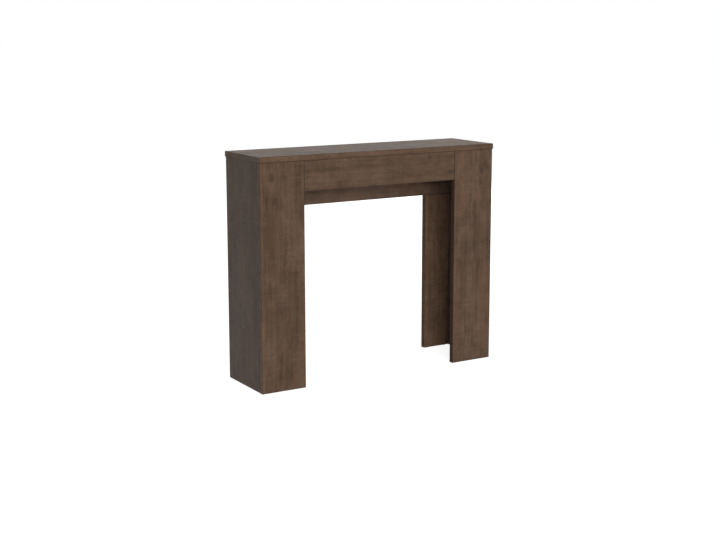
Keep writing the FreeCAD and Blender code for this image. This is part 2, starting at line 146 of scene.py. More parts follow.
# %% [markdown]
# ## Knots
# A knot is a dark ellipse, longer along the grain, and the grain lines swing round it. The group gives a
# mask for the dark eye, with an edge that noise makes ragged, and a push that moves the figure aside.
# A scattered texture could make knots too, but a group with a centre puts them where they belong.

# %% Helpers for patterns
def fade(tree, value, start, end):
    """A soft step from 0 at start to 1 at end."""
    made = add(tree, "ShaderNodeMapRange", {"interpolation_type": "SMOOTHSTEP"},
               {"Value": value, "From Min": start, "From Max": end})
    return made.outputs["Result"]


def noise(tree, place, scale, detail=3.0, rough=0.55):
    """A cloud of values from 0 to 1."""
    made = add(tree, "ShaderNodeTexNoise", {"noise_dimensions": "3D"},
               {"Vector": place, "Scale": scale, "Detail": detail, "Roughness": rough})
    return made.outputs["Fac"]


def stretched(tree, place, stretch):
    """Positions scaled by a different number each way."""
    return vector_calc(tree, "MULTIPLY", place, stretch)


def scaled(tree, vector, factor):
    """A vector made longer or shorter by a number."""
    made = add(tree, "ShaderNodeVectorMath", {"operation": "SCALE"}, {"Vector": vector, "Scale": factor})
    return made.outputs["Vector"]


print("helpers:", ", ".join(helper.__name__ for helper in (fade, noise, stretched, scaled)))

# %% Group: one knot
KNOT_STRETCH = (0.5, 1.0, 1.0)
KNOT_WOBBLE_SCALE = 130.0
KNOT_RAGGED = 1.7
KNOT_EDGE = (1.25, 0.20)
KNOT_PULL = -0.62
KNOT_PULL_REACH = 4.5

knot_group, given, result = shader_group(
    "Walnut Knot",
    [("Grain Position", "Vector", (0, 0, 0)), ("Centre", "Vector", (0, 0, 0)), ("Size", "Float", 0.01)],
    [("Eye", "Float"), ("Push", "Vector")])
offset = vector_calc(knot_group, "SUBTRACT", given["Grain Position"], given["Centre"])
oval = stretched(knot_group, offset, KNOT_STRETCH)
reach = calc(knot_group, "DIVIDE", vector_calc(knot_group, "LENGTH", oval), given["Size"])
wobble = noise(knot_group, given["Grain Position"], KNOT_WOBBLE_SCALE)
wobble = calc(knot_group, "MULTIPLY_ADD", wobble, KNOT_RAGGED, -KNOT_RAGGED / 2)
ragged = calc(knot_group, "ADD", reach, wobble)
knot_group.links.new(fade(knot_group, ragged, *KNOT_EDGE), result["Eye"])
pull = calc(knot_group, "MULTIPLY", fade(knot_group, reach, KNOT_PULL_REACH, 0.0), KNOT_PULL)
sideways = stretched(knot_group, offset, (0.0, 1.0, 0.0))
knot_group.links.new(scaled(knot_group, sideways, pull), result["Push"])
print("group:", knot_group.name, "nodes:", len(knot_group.nodes))

# %% [markdown]
# ## Walnut figure
# The decor is a quiet brown walnut: wide soft streaks, growth lines that wander along the board, fine
# fibre, short dark pores, soft blotches, and faint marks of the saw across the grain, in patches. A scan
# of a board would repeat and blur up close. Here each layer is a noise or a wave that is stretched along
# the grain by its own amount, so the figure never repeats. Grain positions run along the board in X.

# %% Group: start of the figure
# How fast each layer changes along the grain, across it and through the board, per metre
STRETCH = {
    "drift": (2.2, 7.0, 7.0),
    "streaks": (4.4, 30.0, 30.0),
    "lines": (1.2, 17.0, 6.0),
    "growth": (1.0, 52.0, 5.0),
    "growth shows": (3.0, 15.0, 15.0),
    "fibre": (16.0, 620.0, 620.0),
    "patches": (21.0, 24.0, 24.0),
    "saw marks": (150.0, 9.0, 9.0),
    "saw marks show": (6.0, 11.0, 11.0),
    "pores": (48.0, 820.0, 820.0),
    "ruddy": (5.0, 19.0, 19.0),
}

walnut_group, given, result = shader_group(
    "Walnut Figure",
    [("Grain Position", "Vector", (0, 0, 0)), ("Dark", "Color", (0.05, 0.03, 0.02, 1)),
     ("Light", "Color", (0.16, 0.11, 0.08, 1)), ("Red", "Color", (0.15, 0.085, 0.06, 1)),
     ("Contrast", "Float", 1.0)],
    [("Colour", "Color"), ("Tone", "Float"), ("Pores", "Float"), ("Height", "Float")])


def stretched_noise(tree, place, stretch, detail=3.0, rough=0.55):
    """A cloud that changes faster in one direction than in another."""
    return noise(tree, stretched(tree, place, stretch), 1.0, detail, rough)


def grain_noise(place, layer, detail, rough=0.55):
    """A cloud of the walnut figure."""
    return stretched_noise(walnut_group, place, STRETCH[layer], detail, rough)


def grain_bands(place, layer, profile, distortion, detail, detail_scale):
    """Bands of the walnut figure that run along the grain."""
    made = add(walnut_group, "ShaderNodeTexWave",
               {"wave_type": "BANDS", "bands_direction": "Y", "wave_profile": profile},
               {"Vector": stretched(walnut_group, place, STRETCH[layer]), "Scale": 1.0,
                "Distortion": distortion, "Detail": detail, "Detail Scale": detail_scale,
                "Detail Roughness": 0.6})
    return made.outputs["Fac"]


print("layers:", ", ".join(STRETCH))

# %% Group: layers of the figure
GRAIN_DRIFT = 0.034
MIDDLE = 0.5
# Where the clouds of some layers begin to show and where they show in full
SHOWS = {"growth shows": (0.40, 0.62), "saw marks show": (0.42, 0.64), "pores": (0.60, 0.68),
         "ruddy": (0.50, 0.72)}


def grain_mask(place, layer, detail=2.0):
    """A cloud of the walnut figure made into soft islands."""
    return fade(walnut_group, grain_noise(place, layer, detail), *SHOWS[layer])


spot = given["Grain Position"]
drift = grain_noise(spot, "drift", detail=2.0)
drift = calc(walnut_group, "MULTIPLY_ADD", drift, GRAIN_DRIFT, -GRAIN_DRIFT / 2)
shift = add(walnut_group, "ShaderNodeCombineXYZ", None, {"Y": drift}).outputs[0]
bent = vector_calc(walnut_group, "ADD", spot, shift)
streaks = grain_noise(bent, "streaks", detail=4.0, rough=0.6)
lines = grain_bands(bent, "lines", "SIN", distortion=3.2, detail=3.0, detail_scale=0.9)
growth = grain_bands(bent, "growth", "SAW", distortion=2.4, detail=2.0, detail_scale=1.1)
growth = calc(walnut_group, "MULTIPLY", growth, grain_mask(bent, "growth shows"))
fibre = grain_noise(bent, "fibre", detail=3.0, rough=0.65)
patches = grain_noise(spot, "patches", detail=4.0, rough=0.62)
saw_marks = calc(walnut_group, "SUBTRACT", grain_noise(spot, "saw marks", detail=2.0, rough=0.5), MIDDLE)
saw_marks = calc(walnut_group, "MULTIPLY", saw_marks, grain_mask(spot, "saw marks show"))
pores = grain_mask(bent, "pores", detail=1.0)
ruddy = grain_mask(spot, "ruddy")
print("nodes so far:", len(walnut_group.nodes))

# %% Group: tone, colour and height of the figure
TONE_BALANCE = -0.97
RUDDY_SHARE = 0.45
PORE_SHARE = 0.55
PORE_DEPTH = 0.8
FIBRE_HEIGHT = 0.6
# Sockets of a Mix node for each kind of value: first, second and result; the factor is always socket 0
MIX_SOCKETS = {"FLOAT": (2, 3, 0), "VECTOR": (4, 5, 1), "RGBA": (6, 7, 2)}


def mix(tree, kind, factor, first, second, blend="MIX"):
    """Blend two numbers, vectors or colours by a factor."""
    at_first, at_second, at_result = MIX_SOCKETS[kind]
    made = add(tree, "ShaderNodeMix", {"data_type": kind, "blend_type": blend},
               {0: factor, at_first: first, at_second: second})
    return made.outputs[at_result]


# Each layer with its weight in the tone
tone_layers = [(streaks, 0.90), (lines, -0.07), (growth, -0.18), (fibre, 0.42), (patches, 0.80),
               (saw_marks, 0.40)]
tone = TONE_BALANCE
for layer, weight in tone_layers:
    tone = calc(walnut_group, "MULTIPLY_ADD", layer, weight, tone)
tone = calc(walnut_group, "MULTIPLY_ADD", tone, given["Contrast"], MIDDLE)
tone = add(walnut_group, "ShaderNodeClamp", None, {"Value": tone}).outputs[0]
wood = mix(walnut_group, "RGBA", tone, given["Dark"], given["Light"])
wood = mix(walnut_group, "RGBA", calc(walnut_group, "MULTIPLY", ruddy, RUDDY_SHARE), wood, given["Red"])
wood = mix(walnut_group, "RGBA", calc(walnut_group, "MULTIPLY", pores, PORE_SHARE), wood, given["Dark"])
ridges = calc(walnut_group, "MULTIPLY", fibre, FIBRE_HEIGHT)
height = calc(walnut_group, "MULTIPLY_ADD", pores, -PORE_DEPTH, ridges)
for label, output in (("Colour", wood), ("Tone", tone), ("Pores", pores), ("Height", height)):
    walnut_group.links.new(output, result[label])
print("group:", walnut_group.name, "nodes:", len(walnut_group.nodes))

# %% [markdown]
# ## Signs of use
# Hands and dusters leave a satin surface a little uneven in gloss. Painted maps could show it, but large
# soft smears of noise do as well at this distance. One group serves wood, metal and plastic, and gives a
# value to add to a roughness.

# %% Group: handling marks
handling_group, given, result = shader_group(
    "Handling Marks",
    [("Position", "Vector", (0, 0, 0)), ("Smear Size", "Float", 6.0)],
    [("Gloss Change", "Float")])
smears = noise(handling_group, given["Position"], given["Smear Size"], detail=4.0, rough=0.6)
handling_group.links.new(calc(handling_group, "SUBTRACT", smears, MIDDLE), result["Gloss Change"])
print("group:", handling_group.name, "nodes:", len(handling_group.nodes))

# %% [markdown]
# ## Turning the figure on a board
# Every board is cut from another place of the decor, and its grain follows its length: upright on panels
# and stiles, level on top, apron and rail. UV maps could lay the pattern on the faces. A Mapping node does
# it without them: it turns the positions so that the board's length lies along the figure's X and its
# width along Y. On the two ends, the grain of the edge strip runs the other way.

# %% Where a board lies in the figure
QUARTER = math.pi / 2
# Turns named by the board's axes of length and width
GRAIN_TURNS = {"XY": (0, 0, 0), "XZ": (-QUARTER, 0, 0), "YX": (0, 0, -QUARTER), "ZY": (0, QUARTER, 0),
               "ZX": (QUARTER, 0, QUARTER)}
GRAIN_AXES = {"X": (1, 0, 0), "Y": (0, 1, 0), "Z": (0, 0, 1)}


def grain_place(tree, place, turn, start):
    """Positions turned so that the grain runs along X and the board's width along Y."""
    turned = add(tree, "ShaderNodeMapping", None, {"Vector": place, "Rotation": GRAIN_TURNS[turn]})
    return vector_calc(tree, "ADD", turned.outputs[0], start)


def use_group(tree, group, inputs):
    """Place a shader group in a tree and give back its outputs."""
    return add(tree, "ShaderNodeGroup", {"node_tree": group}, inputs).outputs


def place_knots(tree, spot, knots, grain, start):
    """Push the figure aside at each knot; gives the new positions and a mask of the dark eyes."""
    eyes = 0.0
    for centre, size, depth in knots:
        at = Euler(GRAIN_TURNS[grain]).to_matrix() @ Vector(centre) + Vector(start)
        knot = use_group(tree, knot_group, {"Grain Position": spot, "Centre": tuple(at), "Size": size})
        spot = vector_calc(tree, "ADD", spot, knot["Push"])
        eyes = calc(tree, "MAXIMUM", eyes, calc(tree, "MULTIPLY", knot["Eye"], depth))
    return spot, eyes


print("ways to lay the grain:", ", ".join(GRAIN_TURNS))

# %% [markdown]
# ## The walnut boards
# Printed walnut is not all of one tone: boards differ a little, and arrises are darker where the strip
# begins and paler where they are rubbed. Some tones are painted light and shade: the rear frame is toned
# lighter and the left side darker for the light that falls on them, and the inner edge faces of the stiles
# carry a strip of painted shade. Strips and lines could be thin pieces of their own, but they have no
# thickness that shows.
# So all of this is colour and gloss on one Principled shader. Its specular is low, because the decor is
# matt.

# %% Colours of a board
WALNUT_DARK = (0.055, 0.032, 0.019, 1)
WALNUT_LIGHT = (0.160, 0.101, 0.066, 1)
WALNUT_RED = (0.140, 0.079, 0.050, 1)
ARRIS_DARK = (0.040, 0.026, 0.019, 1)
ARRIS_WORN = (0.230, 0.172, 0.130, 1)
LINE_EDGE = (0.0027, 0.0010)
LINE_WANDER = 0.0012
LINE_SHARE = 0.62
RUB_SHOWS = (0.52, 0.66)
RUB_EDGE = (0.0008, 0.0002)
RUB_SHARE = 0.5
# How far the painted shade strip on an inner edge face reaches
SHADE_STRIP_REACH = 0.0009
NO_TINT = (1.0, 1.0, 1.0)


def toned(colour, tone, tint):
    """A colour made a little lighter or darker, warmer or greyer, for boards that differ and for painted
    light and shade on some boards.
    """
    return tuple(tone * part * share for part, share in zip(colour, tint)) + (1,)


def arris_colour(tree, place, distance, colour):
    """Dark lines along the arrises, rubbed pale here and there."""
    wander = noise(tree, place, scale=130.0, detail=2.0)
    wander = calc(tree, "MULTIPLY_ADD", wander, LINE_WANDER, distance)
    line = calc(tree, "MULTIPLY", fade(tree, wander, *LINE_EDGE), LINE_SHARE)
    colour = mix(tree, "RGBA", line, colour, ARRIS_DARK)
    rub = fade(tree, noise(tree, place, scale=34.0, detail=4.0, rough=0.7), *RUB_SHOWS)
    rub = calc(tree, "MULTIPLY", rub, fade(tree, distance, *RUB_EDGE))
    return mix(tree, "RGBA", calc(tree, "MULTIPLY", rub, RUB_SHARE), colour, ARRIS_WORN)


def painted_shade_strip_mask(tree, place, shade_strip_face):
    """1 on the edge face at the given X, where shade is painted, and 0 elsewhere."""
    across = add(tree, "ShaderNodeSeparateXYZ", None, {0: place}).outputs["X"]
    return calc(tree, "COMPARE", across, shade_strip_face, SHADE_STRIP_REACH)


print("darkest and lightest walnut:", WALNUT_DARK[:3], WALNUT_LIGHT[:3])

# %% Helpers for materials
def new_material(name):
    """A material with one Principled shader, its tree and the positions on the piece."""
    material = bpy.data.materials.new(name)
    material.use_nodes = True
    tree = material.node_tree
    shader = tree.nodes["Principled BSDF"]
    place = tree.nodes.new("ShaderNodeTexCoord").outputs["Object"]
    return material, tree, shader, place


def add_relief(tree, shader, height, strength, depth):
    """Fine relief that only bends the light."""
    bump = add(tree, "ShaderNodeBump", None, {"Strength": strength, "Distance": depth, "Height": height})
    tree.links.new(bump.outputs[0], shader.inputs["Normal"])


def dress(node_name, material):
    """Give a CAD solid its finish."""
    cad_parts[node_name].material_slots[0].material = material


print("helpers:", ", ".join(helper.__name__ for helper in (new_material, add_relief, dress)))

# %% Material for a board
FIGURE_CONTRAST = 1.35
BOARD_ROUGHNESS = 0.50
TONE_GLOSS = -0.05
SMEAR_GLOSS = 0.16
PORE_GLOSS = 0.15
# Painted shade on the inner edge faces of the stiles: its darker colour, and the roughness added there
PAINTED_SHADE_STRIP_TONE = 0.6
SHADE_STRIP_GLOSS = 0.3
BOARD_SPECULAR = 0.13


def walnut_board(node_name, grain, end_grain, start, tone=1.0, tint=NO_TINT, knots=(), painted_shade_strip=None):
    """Dress one board in walnut; grain and end_grain name the axes of the figure's length and width.

    Each knot has a centre, a size and a depth. A painted shade strip, which darkens an inner edge face
    as if it stood in shade, has the X of its face and a depth.
    """
    material, tree, shader, place = new_material("walnut_" + node_name)
    low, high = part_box(node_name)
    arris = use_group(tree, edge_group, {"Position": place, "Low": tuple(low), "High": tuple(high),
                                         "Grain": GRAIN_AXES[grain[0]]})
    spot = mix(tree, "VECTOR", arris["End Face"], grain_place(tree, place, grain, start),
               grain_place(tree, place, end_grain, start))
    spot, eyes = place_knots(tree, spot, knots, grain, start)
    figure = use_group(tree, walnut_group, {"Grain Position": spot, "Dark": toned(WALNUT_DARK, tone, tint),
                                            "Light": toned(WALNUT_LIGHT, tone, tint),
                                            "Red": toned(WALNUT_RED, tone, tint),
                                            "Contrast": FIGURE_CONTRAST})
    colour = figure["Colour"]
    if knots:
        colour = mix(tree, "RGBA", eyes, colour, ARRIS_DARK)
    colour = arris_colour(tree, place, arris["Distance"], colour)
    marks = use_group(tree, handling_group, {"Position": place, "Smear Size": 5.0})
    gloss = calc(tree, "MULTIPLY_ADD", figure["Tone"], TONE_GLOSS, BOARD_ROUGHNESS)
    gloss = calc(tree, "MULTIPLY_ADD", marks["Gloss Change"], SMEAR_GLOSS, gloss)
    gloss = calc(tree, "MULTIPLY_ADD", figure["Pores"], PORE_GLOSS, gloss)
    # Painted shade: the inner edge face is darkened as if it stood in shade, and made rougher to dull its
    # sheen
    if painted_shade_strip is not None:
        shade_strip_face, shade_strip_depth = painted_shade_strip
        shade_strip = painted_shade_strip_mask(tree, place, shade_strip_face)
        share = calc(tree, "MULTIPLY", shade_strip, shade_strip_depth)
        colour = mix(tree, "RGBA", share, colour, toned(WALNUT_DARK, PAINTED_SHADE_STRIP_TONE, NO_TINT))
        gloss = calc(tree, "MULTIPLY_ADD", shade_strip, SHADE_STRIP_GLOSS, gloss)
    tree.links.new(colour, shader.inputs["Base Color"])
    tree.links.new(gloss, shader.inputs["Roughness"])
    shader.inputs["Specular IOR Level"].default_value = BOARD_SPECULAR
    add_relief(tree, shader, figure["Height"], strength=0.35, depth=0.0004)
    dress(node_name, material)


print("a board's roughness is about", BOARD_ROUGHNESS, "and its specular", BOARD_SPECULAR)

# %% [markdown]
# ## Dressing the nine boards
# Each board starts at a place of its own in the figure, metres away from the next, so neighbours never
# show the same streaks. A random start would do that too, but a chosen one lets the streaks fall as they
# do on the real boards. The few knots that catch the eye on the front are placed one by one.

# %% Dress the nine boards
# Painted shade on the inner edge faces of the front and rear stiles: how far toward the dark colour each
# goes
FRONT_SHADE_STRIP_DEPTH = 0.75
REAR_SHADE_STRIP_DEPTH = 0.45
# Painted light: a greyer tint that stands for the cool light from the white floor and walls on the rear
# rail
PAINTED_LIGHT_GREY_TINT = (0.97, 1.01, 1.10)
FRONT_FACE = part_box("front_apron")[0].y

apron_knots = [((0.2765, FRONT_FACE, 0.6706), 0.0095, 0.7)]
left_knots = [((-0.4049, FRONT_FACE, 0.6904), 0.0100, 0.45), ((-0.3979, FRONT_FACE, 0.6138), 0.0090, 0.5)]
right_knots = [((0.4037, FRONT_FACE, 0.6660), 0.0095, 0.7), ((0.3779, FRONT_FACE, 0.5490), 0.0085, 0.5)]
walnut_board("table_top", "XY", "YX", start=(0.31, 0.12, 0.0))
walnut_board("front_apron", "XZ", "ZX", start=(2.70, 0.47, 0.3), tone=0.90, knots=apron_knots)
walnut_board("left_front_stile", "ZX", "XZ", start=(5.20, 0.83, 0.1), tone=0.97, knots=left_knots,
             painted_shade_strip=(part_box("left_front_stile")[1].x, FRONT_SHADE_STRIP_DEPTH))
walnut_board("right_front_stile", "ZX", "XZ", start=(7.90, 1.26, 0.2), tone=0.99, knots=right_knots,
             painted_shade_strip=(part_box("right_front_stile")[0].x, FRONT_SHADE_STRIP_DEPTH))
# Painted shade: the left side panel is toned darker, for the weaker light that falls on that side
walnut_board("left_side_panel", "ZY", "YX", start=(10.60, 1.71, 0.4), tone=0.78)
walnut_board("right_side_panel", "ZY", "YX", start=(13.10, 2.09, 0.6), tone=0.90)
# Painted light: the rear rail is toned lighter and greyer, for the light that reaches it behind the apron
walnut_board("rear_rail", "XZ", "ZX", start=(15.70, 2.55, 0.5), tone=1.32, tint=PAINTED_LIGHT_GREY_TINT)
# Painted light: both rear stiles are toned lighter, for the light that reaches them inside the frame
walnut_board("left_rear_stile", "ZX", "XZ", start=(18.30, 2.96, 0.7), tone=1.40,
             painted_shade_strip=(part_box("left_rear_stile")[1].x, REAR_SHADE_STRIP_DEPTH))
walnut_board("right_rear_stile", "ZX", "XZ", start=(21.36, 3.38, 0.8), tone=1.40,
             painted_shade_strip=(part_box("right_rear_stile")[0].x, REAR_SHADE_STRIP_DEPTH))
finishes = {name: piece.material_slots[0].material.name for name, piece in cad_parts.items()}
print("boards dressed:", [name for name in finishes if finishes[name] == "walnut_" + name])
print("knots are on the front face, at Y", round(FRONT_FACE, 4), "m")

# %% [markdown]
# ## Metal fittings
# Three metals hide inside: satin anodised runners, pressed through a die and so lined along their length,
# zinc plated steel with a patchy bluish film, and raw die cast zinc, which is grainy. Anisotropic shading
# could stand for the lines, but noise stretched along the piece also shows them up close. One group
# makes lines and patches; Metallic and the other plain numbers stay on each shader.

# %% Group: drawn or plated metal
LINE_SHADE = 0.24
LINE_SHADE_LOW = 0.88
FILM_SHOWS = (0.38, 0.66)

metal_group, given, result = shader_group(
    "Worked Metal",
    [("Position", "Vector", (0, 0, 0)), ("Line Stretch", "Vector", (900, 4, 900)),
     ("Clean", "Color", (0.7, 0.7, 0.7, 1)), ("Film", "Color", (0.6, 0.6, 0.6, 1)),
     ("Patch Size", "Float", 60.0)],
    [("Colour", "Color"), ("Lines", "Float")])
lines = stretched_noise(metal_group, given["Position"], given["Line Stretch"], detail=2.0)
film = noise(metal_group, given["Position"], given["Patch Size"], detail=4.0, rough=0.65)
film = fade(metal_group, film, *FILM_SHOWS)
colour = mix(metal_group, "RGBA", film, given["Clean"], given["Film"])
shade = calc(metal_group, "MULTIPLY_ADD", lines, LINE_SHADE, LINE_SHADE_LOW)
grey = add(metal_group, "ShaderNodeCombineColor", None, {0: shade, 1: shade, 2: shade}).outputs[0]
metal_group.links.new(mix(metal_group, "RGBA", 1.0, colour, grey, "MULTIPLY"), result["Colour"])
metal_group.links.new(lines, result["Lines"])
print("group:", metal_group.name, "nodes:", len(metal_group.nodes))

# %% Metal materials
LINE_GLOSS = 0.14
METAL_SMEAR_GLOSS = 0.20


def worked_metal(name, clean, film, stretch, patch_size, rough, relief, metallic=1.0):
    """A metal finish from the group, with lines in the roughness and the relief."""
    material, tree, shader, place = new_material(name)
    metal = use_group(tree, metal_group, {"Position": place, "Line Stretch": stretch, "Clean": clean,
                                          "Film": film, "Patch Size": patch_size})
    marks = use_group(tree, handling_group, {"Position": place, "Smear Size": 24.0})
    tree.links.new(metal["Colour"], shader.inputs["Base Color"])
    gloss = calc(tree, "MULTIPLY_ADD", metal["Lines"], LINE_GLOSS, rough - LINE_GLOSS / 2)
    gloss = calc(tree, "MULTIPLY_ADD", marks["Gloss Change"], METAL_SMEAR_GLOSS, gloss)
    tree.links.new(gloss, shader.inputs["Roughness"])
    shader.inputs["Metallic"].default_value = metallic
    add_relief(tree, shader, metal["Lines"], strength=0.4, depth=relief)
    return material


RUNNER_METAL = worked_metal("anodised_runner", clean=(0.54, 0.55, 0.56, 1), film=(0.44, 0.45, 0.46, 1),
                            stretch=(800, 3, 800), patch_size=14.0, rough=0.36, relief=0.0001)
PLATED_STEEL = worked_metal("plated_steel", clean=(0.46, 0.46, 0.44, 1), film=(0.36, 0.38, 0.40, 1),
                            stretch=(60, 60, 700), patch_size=110.0, rough=0.40, relief=0.0001)
SCREW_METAL = worked_metal("plated_screw", clean=(0.52, 0.51, 0.47, 1), film=(0.40, 0.42, 0.44, 1),
                           stretch=(500, 500, 500), patch_size=420.0, rough=0.34, relief=0.00005)
CAST_ZINC = worked_metal("raw_zinc", clean=(0.52, 0.52, 0.52, 1), film=(0.41, 0.42, 0.42, 1),
                         stretch=(900, 900, 900), patch_size=260.0, rough=0.52, relief=0.0002,
                         metallic=0.9)
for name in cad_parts:
    if name.endswith(("wall_rail", "end_rail")) or "_stage_" in name:
        dress(name, RUNNER_METAL)
    elif "bracket" in name or "plate" in name:
        dress(name, PLATED_STEEL)
for name in ("cam_discs", "cam_bolts"):
    dress(name, CAST_ZINC)
print("metals:", RUNNER_METAL.name, PLATED_STEEL.name, SCREW_METAL.name, CAST_ZINC.name)

# %% [markdown]
# ## Nylon and plastic
# Shoes and guides are moulded black nylon that the rails polish into streaks along the travel. The
# glides are white nylon and the screw caps brown plastic, both with a fine moulded texture. A plain
# glossy colour would look like a toy, so all three share a group that gives the moulded grain and
# the polish.

# %% Group: moulded plastic
GRAIN_SCALE = 1600.0
POLISH_SHOWS = (0.48, 0.68)

moulded_group, given, result = shader_group(
    "Moulded Plastic",
    [("Position", "Vector", (0, 0, 0)), ("Colour", "Color", (0.03, 0.03, 0.03, 1)),
     ("Polished", "Color", (0.06, 0.06, 0.06, 1)), ("Polish Stretch", "Vector", (400, 12, 400))],
    [("Colour", "Color"), ("Polish", "Float"), ("Grain", "Float")])
polish = stretched_noise(moulded_group, given["Position"], given["Polish Stretch"], detail=2.0)
polish = fade(moulded_group, polish, *POLISH_SHOWS)
colour = mix(moulded_group, "RGBA", polish, given["Colour"], given["Polished"])
grain = noise(moulded_group, given["Position"], GRAIN_SCALE, detail=2.0)
for label, output in (("Colour", colour), ("Polish", polish), ("Grain", grain)):
    moulded_group.links.new(output, result[label])
print("group:", moulded_group.name, "nodes:", len(moulded_group.nodes))

# %% Plastic materials
POLISH_GLOSS = -0.18
PLASTIC_SMEAR_GLOSS = 0.18


def moulded_plastic(name, colour, polished, stretch, rough):
    """A plastic finish from the group."""
    material, tree, shader, place = new_material(name)
    plastic = use_group(tree, moulded_group, {"Position": place, "Colour": colour, "Polished": polished,
                                              "Polish Stretch": stretch})
    marks = use_group(tree, handling_group, {"Position": place, "Smear Size": 30.0})
    tree.links.new(plastic["Colour"], shader.inputs["Base Color"])
    gloss = calc(tree, "MULTIPLY_ADD", plastic["Polish"], POLISH_GLOSS, rough)
    gloss = calc(tree, "MULTIPLY_ADD", marks["Gloss Change"], PLASTIC_SMEAR_GLOSS, gloss)
    tree.links.new(gloss, shader.inputs["Roughness"])
    add_relief(tree, shader, plastic["Grain"], strength=0.3, depth=0.0002)
    return material


SLIDE_NYLON = moulded_plastic("black_nylon", colour=(0.028, 0.028, 0.030, 1),
                              polished=(0.055, 0.055, 0.058, 1), stretch=(500, 9, 500), rough=0.52)
GLIDE_NYLON = moulded_plastic("white_nylon", colour=(0.78, 0.77, 0.74, 1),
                              polished=(0.86, 0.85, 0.82, 1), stretch=(150, 150, 900), rough=0.50)
CAP_PLASTIC = moulded_plastic("cap_plastic", colour=(0.085, 0.055, 0.039, 1),
                              polished=(0.125, 0.086, 0.062, 1), stretch=(130, 130, 130), rough=0.48)
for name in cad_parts:
    if name.endswith("_nylon") or name in ("wall_rail_shoes", "end_rail_guides"):
        dress(name, SLIDE_NYLON)
dress("floor_glides", GLIDE_NYLON)
print("plastics:", SLIDE_NYLON.name, GLIDE_NYLON.name, CAP_PLASTIC.name)

# %% [markdown]
# ## Beech dowels
# The dowels sit out of sight in the joints, and show only when the part is taken apart. Beech is pale and
# even, with short brown flecks along the grain. One plain colour would do for a hidden piece, but two
# stretched noises cost little and look right on the bench.

# %% Material for the dowels
BEECH_PALE = (0.56, 0.38, 0.23, 1)
BEECH_LIGHT = (0.69, 0.52, 0.34, 1)
BEECH_FLECK = (0.36, 0.21, 0.11, 1)
STREAK_STRETCH = (300.0, 300.0, 40.0)
FLECK_STRETCH = (1300.0, 1300.0, 260.0)
FLECK_SHOWS = (0.60, 0.68)
FLECK_SHARE = 0.5
BEECH_ROUGHNESS = 0.60
STREAK_GLOSS = 0.14

DOWEL_BEECH, tree, shader, place = new_material("dowel_beech")
streak = stretched_noise(tree, place, STREAK_STRETCH)
fleck = fade(tree, stretched_noise(tree, place, FLECK_STRETCH, detail=1.0), *FLECK_SHOWS)
beech = mix(tree, "RGBA", streak, BEECH_PALE, BEECH_LIGHT)
beech = mix(tree, "RGBA", calc(tree, "MULTIPLY", fleck, FLECK_SHARE), beech, BEECH_FLECK)
gloss = calc(tree, "MULTIPLY_ADD", streak, STREAK_GLOSS, BEECH_ROUGHNESS)
tree.links.new(beech, shader.inputs["Base Color"])
tree.links.new(gloss, shader.inputs["Roughness"])
add_relief(tree, shader, streak, strength=0.4, depth=0.0002)
dress("panel_dowels", DOWEL_BEECH)
print("dowels dressed:", DOWEL_BEECH.name)

# %% [markdown]
# ## Screw heads and caps
# Screws hold the rails, plates and brackets, and plastic caps hide those of the rear frame. Each is the
# same small dome set out on many points. Copies could be placed one by one; Geometry Nodes make and
# place them in one tree. A square grid is pulled round into a disc and raised into a dome, because near
# the middle its lines stay straight, which suits a crossed recess. A flat copy closes the underside.

# %% Geometry Nodes tree: inputs
HEAD_INPUTS = [("Head Radius", "Float", 0.004), ("Head Height", "Float", 0.0024),
               ("Recess Depth", "Float", 0.0016), ("Spin Seed", "Int", 7), ("Finish", "Material", None)]

head_tree = bpy.data.node_groups.new("Driven Heads", "GeometryNodeTree")
head_tree.interface.new_socket("Places", in_out="INPUT", socket_type="NodeSocketGeometry")
for label, kind, value in HEAD_INPUTS:
    socket = head_tree.interface.new_socket(label, in_out="INPUT", socket_type="NodeSocket" + kind)
    if value is not None:
        socket.default_value = value
head_tree.interface.new_socket("Heads", in_out="OUTPUT", socket_type="NodeSocketGeometry")
given = head_tree.nodes.new("NodeGroupInput").outputs
result = head_tree.nodes.new("NodeGroupOutput").inputs
print("inputs of the tree:", ", ".join(label for label, kind, value in HEAD_INPUTS))

# %% Geometry Nodes tree: one head
GRID_LINES = 17
DOME_POWER = 0.5
ARM_HALF_WIDTH = 0.13
ARM_REACH = 0.39
RECESS_SLOPE = -1.1
WELD_DISTANCE = 0.00001

grid = add(head_tree, "GeometryNodeMeshGrid", None,
           {"Size X": 2.0, "Size Y": 2.0, "Vertices X": GRID_LINES, "Vertices Y": GRID_LINES})
grid = grid.outputs["Mesh"]
spot = head_tree.nodes.new("GeometryNodeInputPosition").outputs[0]
away = vector_calc(head_tree, "ABSOLUTE", spot)
away = add(head_tree, "ShaderNodeSeparateXYZ", None, {0: away}).outputs
ring = calc(head_tree, "MAXIMUM", away[0], away[1])
arm = calc(head_tree, "MINIMUM", away[0], away[1])
bend = calc(head_tree, "MULTIPLY", ring, QUARTER)
radius = calc(head_tree, "MULTIPLY", calc(head_tree, "SINE", bend), given["Head Radius"])
disc = scaled(head_tree, vector_calc(head_tree, "NORMALIZE", spot), radius)
slope = calc(head_tree, "MAXIMUM", calc(head_tree, "COSINE", bend), 0.0)
dome = calc(head_tree, "MULTIPLY", calc(head_tree, "POWER", slope, DOME_POWER), given["Head Height"])
in_arm = calc(head_tree, "MULTIPLY", calc(head_tree, "LESS_THAN", arm, ARM_HALF_WIDTH),
              calc(head_tree, "LESS_THAN", ring, ARM_REACH))
cut = calc(head_tree, "MULTIPLY_ADD", ring, RECESS_SLOPE, 1.0)
cut = calc(head_tree, "MULTIPLY", cut, given["Recess Depth"])
rise = calc(head_tree, "SUBTRACT", dome, calc(head_tree, "MULTIPLY", cut, in_arm))
lift = add(head_tree, "ShaderNodeCombineXYZ", None, {"Z": rise}).outputs[0]
